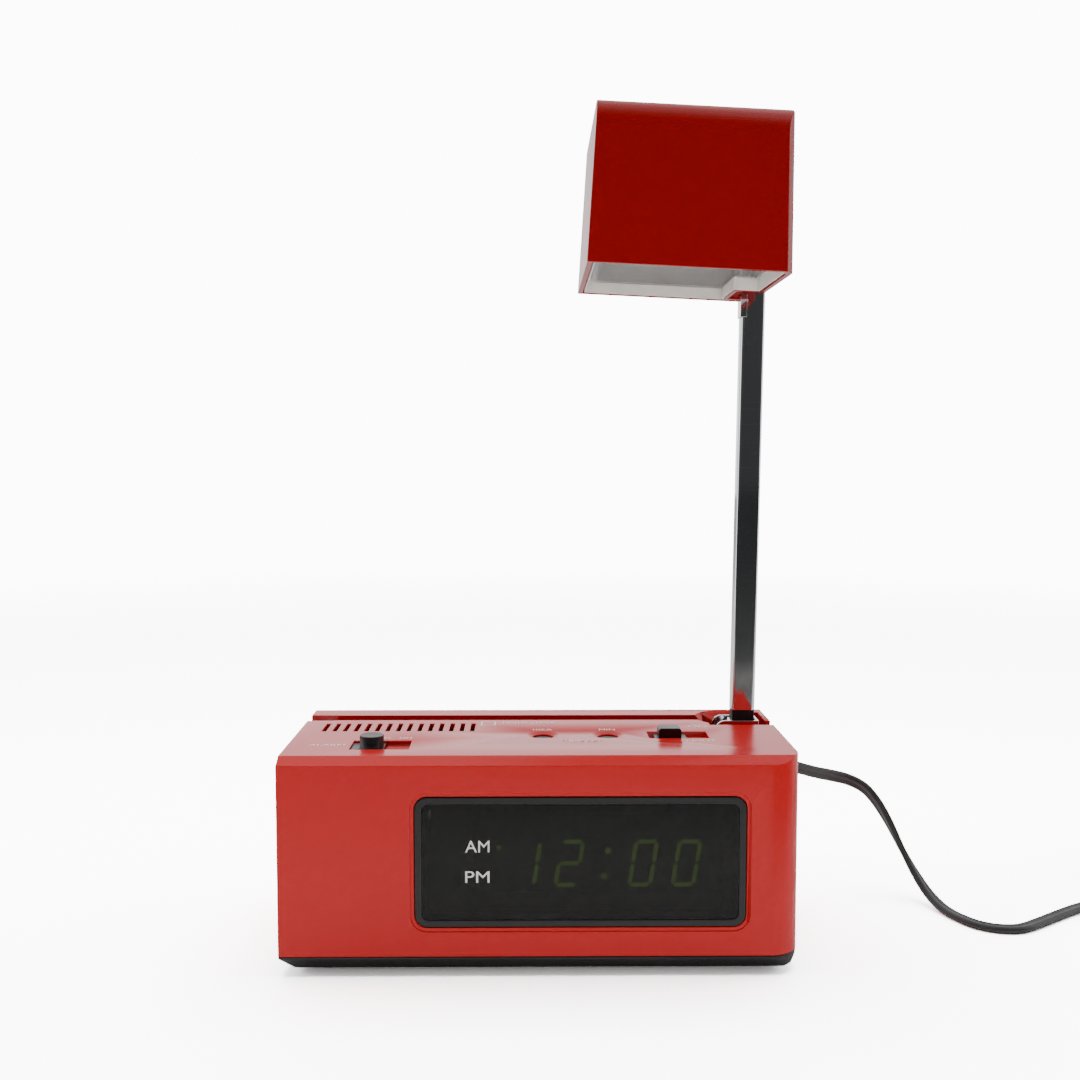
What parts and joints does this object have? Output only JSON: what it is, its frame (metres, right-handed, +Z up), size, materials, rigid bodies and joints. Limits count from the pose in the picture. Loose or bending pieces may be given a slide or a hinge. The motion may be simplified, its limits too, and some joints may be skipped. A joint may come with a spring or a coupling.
{
  "type": "digital alarm clock with folding lamp",
  "caption": "Box-shaped digital alarm clock with a reading lamp on a fold-down arm, slide switches, set buttons and a mains lead.",
  "frame": {"origin": "centre of the clock case's footprint, on the desk", "axes": "+Z up, +X to the right seen from the front, the front face and display look along -Y"},
  "size_m": [0.4036, 0.14, 0.2929],
  "materials": {
    "red_plastic": "glossy moulded red plastic",
    "black_plastic": "satin black plastic",
    "knob_black": "smooth black plastic",
    "grey_button": "satin grey plastic",
    "bezel_grey": "fine satin dark grey frame",
    "dark_lens": "tinted dark lens",
    "display_glass": "dark glass envelope of the display tube",
    "circuit_board": "green laminate with solder mask",
    "component_black": "moulded epoxy",
    "capacitor_sleeve": "shrunk plastic sleeve",
    "laminated_steel": "stacked steel laminations",
    "copper_winding": "enamelled copper winding",
    "screw_steel": "zinc plated steel",
    "chrome_plate": "bright plated metal",
    "switch_metal": "stamped switch frame",
    "foot_rubber": "soft rubber",
    "cord_rubber": "smooth dark grey insulation",
    "lead_white": "white wire insulation",
    "washer_nylon": "natural nylon",
    "reflector": "satin silver reflector sheet",
    "socket_cream": "cream moulded socket",
    "cap_brass": "brass screw cap",
    "bulb_frosted": "frosted glass"
  },
  "bodies": {
    "case": {"upper_case": "red_plastic", "rear_cover": "red_plastic", "base_tray": "black_plastic", "rubber_feet": "foot_rubber", "case_screws": "screw_steel", "rear_screws": "screw_steel", "window_bezel": "bezel_grey", "window_lens": "dark_lens", "display_tube": "display_glass", "display_board": "circuit_board", "main_board": "circuit_board", "clock_chip": "component_black", "capacitors": "capacitor_sleeve", "transformer_core": "laminated_steel", "transformer_coil": "copper_winding", "alarm_buzzer": "component_black", "switch_board": "circuit_board", "board_screws": "screw_steel", "alarm_switch": "switch_metal", "light_switch": "switch_metal", "key_switches": "component_black", "hinge_bracket": "chrome_plate", "hinge_pin": "screw_steel", "hinge_washers": "washer_nylon", "strain_relief": "black_plastic", "cord_run": "cord_rubber", "cord_coil": "cord_rubber", "coil_tie": "black_plastic", "plug_body": "black_plastic", "plug_blades": "cap_brass"},
    "arm": {"lamp_arm": "chrome_plate", "arm_foot": "black_plastic", "arm_guard": "chrome_plate", "arm_knuckle": "screw_steel", "arm_clip": "chrome_plate", "lamp_lead": "lead_white", "head_washers": "washer_nylon"},
    "head": {"shade_shell": "red_plastic", "shade_reflector": "reflector", "socket_bracket": "screw_steel", "lamp_socket": "socket_cream", "bulb_cap": "cap_brass", "bulb_glass": "bulb_frosted", "head_bracket": "screw_steel", "head_pin": "screw_steel"},
    "alarm_slider": {"alarm_slider": "knob_black"},
    "light_slider": {"light_slider": "knob_black"},
    "hour_button": {"hour_button": "grey_button"},
    "minute_button": {"minute_button": "grey_button"}
  },
  "joints": [
    {"name": "arm_fold", "type": "hinge", "parent": "case", "child": "arm", "pos_m": [0.0785, 0.0245, 0.0677], "axis": [0, -1, 0], "range_deg": [0, 90.8]},
    {"name": "head_tilt", "type": "hinge", "parent": "arm", "child": "head", "pos_m": [0.08093, 0.0245, 0.24178], "axis": [0, 1, 0], "range_deg": [0, 25]},
    {"name": "alarm_slide", "type": "slide", "parent": "case", "child": "alarm_slider", "axis": [1, 0, 0], "range_m": [0, 0.0084]},
    {"name": "light_slide", "type": "slide", "parent": "case", "child": "light_slider", "axis": [1, 0, 0], "range_m": [-0.002, 0.0074]},
    {"name": "hour_press", "type": "slide", "parent": "case", "child": "hour_button", "axis": [0, 0, -1], "range_m": [0, 0.0006], "stiffness_N_per_m": 800, "springref_m": -0.0005},
    {"name": "minute_press", "type": "slide", "parent": "case", "child": "minute_button", "axis": [0, 0, -1], "range_m": [0, 0.0006], "stiffness_N_per_m": 800, "springref_m": -0.0005}
  ]
}
